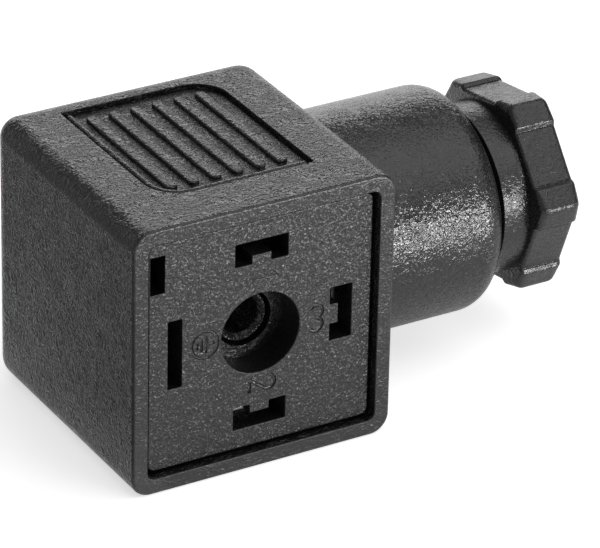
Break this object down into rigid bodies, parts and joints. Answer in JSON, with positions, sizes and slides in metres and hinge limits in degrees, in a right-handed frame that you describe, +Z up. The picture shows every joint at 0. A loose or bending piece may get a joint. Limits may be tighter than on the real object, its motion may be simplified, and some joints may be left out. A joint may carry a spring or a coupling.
{
  "type": "solenoid valve coil plug",
  "caption": "Square black cable plug for a solenoid valve coil, with a side cable gland, a recessed contact insert, screw terminals and a long centre screw.",
  "frame": {"origin": "centre of the housing's flat underside, below the mating axis and halfway between the front rim and the rear face", "axes": "+X along the cable gland and out of its nut, +Y from the mating face to the rear, +Z up from the flat side that the plug lies on"},
  "size_m": [0.0523, 0.0417, 0.0275],
  "materials": {
    "black_nylon": "glass filled nylon with a fine moulded grain",
    "grey_nylon": "plain moulded nylon",
    "black_rubber": "matt nitrile rubber",
    "tinned_brass": "dull tin plate on brass sheet",
    "zinc_steel": "bright zinc plate"
  },
  "bodies": {
    "housing": {"housing": "black_nylon", "gland_grommet": "black_rubber"},
    "gland_washer": {"gland_washer": "grey_nylon"},
    "gland_nut": {"gland_nut": "black_nylon"},
    "screw_seal": {"screw_seal": "black_rubber"},
    "centre_screw": {"centre_screw": "zinc_steel"},
    "insert": {"contact_insert": "black_nylon", "contact_1": "tinned_brass", "contact_2": "tinned_brass", "contact_3": "tinned_brass", "contact_earth": "tinned_brass"},
    "wire_clamp_1": {"wire_clamp_1": "zinc_steel"},
    "wire_clamp_2": {"wire_clamp_2": "zinc_steel"},
    "wire_clamp_3": {"wire_clamp_3": "zinc_steel"},
    "wire_clamp_earth": {"wire_clamp_earth": "zinc_steel"},
    "terminal_screw_1": {"terminal_screw_1": "zinc_steel"},
    "terminal_screw_2": {"terminal_screw_2": "zinc_steel"},
    "terminal_screw_3": {"terminal_screw_3": "zinc_steel"},
    "terminal_screw_earth": {"terminal_screw_earth": "zinc_steel"}
  },
  "joints": [
    {"name": "insert_slide", "type": "slide", "parent": "housing", "child": "insert", "axis": [0, -1, 0], "range_m": [0, 0.03]},
    {"name": "gland_slide", "type": "slide", "parent": "housing", "child": "gland_washer", "axis": [1, 0, 0], "range_m": [-0.0036, 0.0043], "deforming": ["gland_grommet"]},
    {"name": "gland_turn", "type": "hinge", "parent": "gland_washer", "child": "gland_nut", "pos_m": [0.034, 0.0023, 0.01375], "axis": [1, 0, 0], "range_deg": [-900, 1080]},
    {"name": "centre_screw_slide", "type": "slide", "parent": "housing", "child": "screw_seal", "axis": [0, -1, 0], "range_m": [0, 0.0135]},
    {"name": "centre_screw_turn", "type": "hinge", "parent": "screw_seal", "child": "centre_screw", "pos_m": [0, 0.02, 0.01375], "axis": [0, -1, 0], "continuous": true},
    {"name": "terminal_1_slide", "type": "slide", "parent": "insert", "child": "wire_clamp_1", "axis": [0, 1, 0], "range_m": [0, 0.002]},
    {"name": "terminal_1_turn", "type": "hinge", "parent": "wire_clamp_1", "child": "terminal_screw_1", "pos_m": [0, -0.001, 0.02055], "axis": [0, 1, 0], "range_deg": [0, 1440]},
    {"name": "terminal_2_slide", "type": "slide", "parent": "insert", "child": "wire_clamp_2", "axis": [0, 1, 0], "range_m": [0, 0.002]},
    {"name": "terminal_2_turn", "type": "hinge", "parent": "wire_clamp_2", "child": "terminal_screw_2", "pos_m": [0, -0.001, 0.00695], "axis": [0, 1, 0], "range_deg": [0, 1440]},
    {"name": "terminal_3_slide", "type": "slide", "parent": "insert", "child": "wire_clamp_3", "axis": [0, 1, 0], "range_m": [0, 0.002]},
    {"name": "terminal_3_turn", "type": "hinge", "parent": "wire_clamp_3", "child": "terminal_screw_3", "pos_m": [0.0068, -0.001, 0.01375], "axis": [0, 1, 0], "range_deg": [0, 1440]},
    {"name": "terminal_earth_slide", "type": "slide", "parent": "insert", "child": "wire_clamp_earth", "axis": [0, 1, 0], "range_m": [0, 0.002]},
    {"name": "terminal_earth_turn", "type": "hinge", "parent": "wire_clamp_earth", "child": "terminal_screw_earth", "pos_m": [-0.0068, -0.001, 0.01375], "axis": [0, 1, 0], "range_deg": [0, 1440]}
  ],
  "couplings": [
    {"joint": "gland_slide", "follows": "gland_turn", "m_per_rad": 0.00022457},
    {"joint": "terminal_1_turn", "follows": "terminal_1_slide", "rad_per_m": 12566},
    {"joint": "terminal_2_turn", "follows": "terminal_2_slide", "rad_per_m": 12566},
    {"joint": "terminal_3_turn", "follows": "terminal_3_slide", "rad_per_m": 12566},
    {"joint": "terminal_earth_turn", "follows": "terminal_earth_slide", "rad_per_m": 12566}
  ]
}
